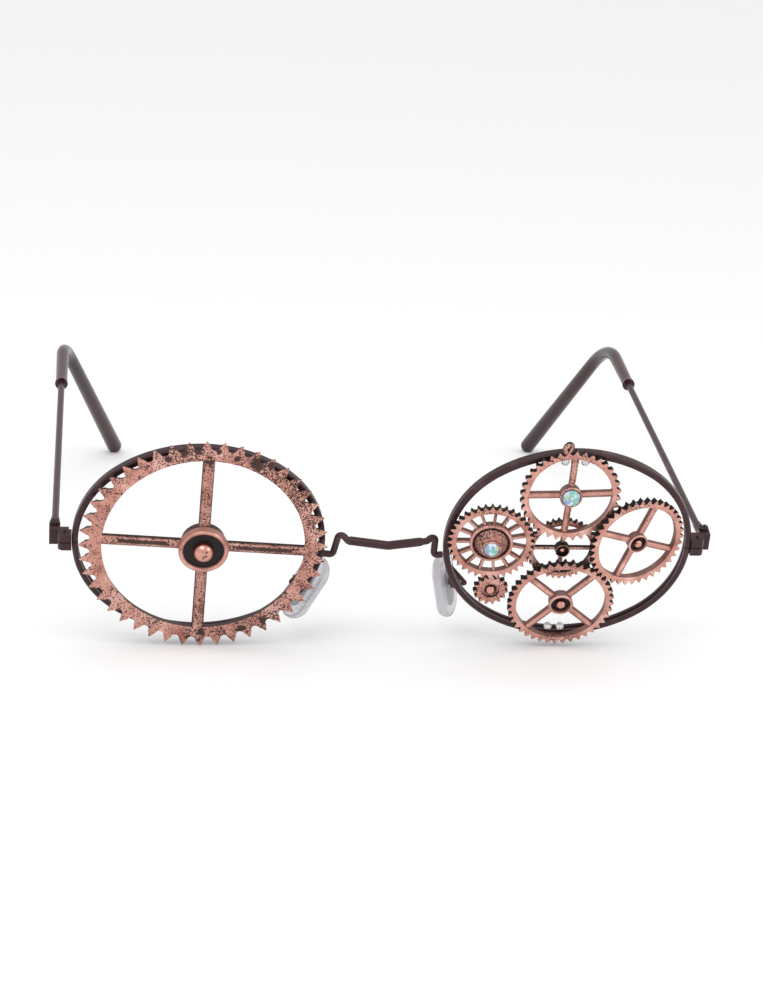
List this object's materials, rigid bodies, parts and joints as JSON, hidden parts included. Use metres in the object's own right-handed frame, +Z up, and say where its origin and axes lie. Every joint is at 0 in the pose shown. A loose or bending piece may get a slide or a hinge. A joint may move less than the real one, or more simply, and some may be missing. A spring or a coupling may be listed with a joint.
{
  "type": "gear-trimmed round wire spectacles",
  "caption": "Round wire spectacles without lenses, with cast clockwork gears over both eyewires, folding temples with plastic ear sleeves and rocking silicone nose pads.",
  "frame": {"origin": "on the table under the middle of the whole part, as it lies on its lowest gear teeth and its two ear tips with the temples open", "axes": "+X to the viewer's right, +Y from the front back along the temples, +Z up; the front leans forward over -Y"},
  "size_m": [0.1272, 0.1455, 0.0456],
  "materials": {
    "brown_lacquer": "satin dark brown lacquer on wire",
    "screw_steel": "darkened steel",
    "antique_copper": "antiqued copper plate with dark patina in the recesses",
    "blackened_copper": "copper plate, mostly blackened",
    "opal_glass": "milky opal glass, cut",
    "sleeve_plastic": "glossy reddish brown",
    "clear_silicone": "clear soft silicone",
    "clear_adhesive": "clear set glue"
  },
  "bodies": {
    "front": {"left_eyewire": "brown_lacquer", "right_eyewire": "brown_lacquer", "bridge": "brown_lacquer", "left_end_piece": "brown_lacquer", "right_end_piece": "brown_lacquer", "left_lock_block": "brown_lacquer", "right_lock_block": "brown_lacquer", "left_lock_screw": "screw_steel", "right_lock_screw": "screw_steel", "left_hinge_screw": "screw_steel", "right_hinge_screw": "screw_steel", "left_pad_arm": "brown_lacquer", "right_pad_arm": "brown_lacquer", "left_pad_box": "brown_lacquer", "right_pad_box": "brown_lacquer", "left_pad_screw": "screw_steel", "right_pad_screw": "screw_steel", "large_gear": "antique_copper", "large_hub_collar": "antique_copper", "large_hub_rivet": "antique_copper", "top_gear": "antique_copper", "top_stone": "opal_glass", "fan_gear": "antique_copper", "fan_boss": "antique_copper", "fan_stone": "opal_glass", "bottom_gear": "antique_copper", "bottom_rivet": "antique_copper", "side_gear": "antique_copper", "side_rivet": "antique_copper", "pinion_gear": "antique_copper", "pinion_rivet": "antique_copper", "back_gear": "blackened_copper", "back_rivet": "antique_copper", "adhesive_beads": "clear_adhesive"},
    "left_temple": {"left_temple_wire": "brown_lacquer", "left_temple_knuckle": "brown_lacquer", "left_ear_sleeve": "sleeve_plastic"},
    "right_temple": {"right_temple_wire": "brown_lacquer", "right_temple_knuckle": "brown_lacquer", "right_ear_sleeve": "sleeve_plastic"},
    "left_pad": {"left_pad_mount": "brown_lacquer", "left_nose_pad": "clear_silicone"},
    "right_pad": {"right_pad_mount": "brown_lacquer", "right_nose_pad": "clear_silicone"}
  },
  "joints": [
    {"name": "left_temple_fold", "type": "hinge", "parent": "front", "child": "left_temple", "pos_m": [-0.06255, -0.05922, 0.02318], "axis": [0, 0.2898, -0.9571], "range_deg": [0, 80]},
    {"name": "right_temple_fold", "type": "hinge", "parent": "front", "child": "right_temple", "pos_m": [0.06255, -0.05922, 0.02318], "axis": [0, -0.2898, 0.9571], "range_deg": [0, 77]},
    {"name": "left_pad_rock", "type": "hinge", "parent": "front", "child": "left_pad", "pos_m": [-0.0152, -0.05441, 0.01179], "axis": [-0.4226, 0.8674, 0.2627], "range_deg": [-26, 4]},
    {"name": "right_pad_rock", "type": "hinge", "parent": "front", "child": "right_pad", "pos_m": [0.0152, -0.05441, 0.01179], "axis": [-0.4226, -0.8674, -0.2627], "range_deg": [-4, 26]}
  ]
}
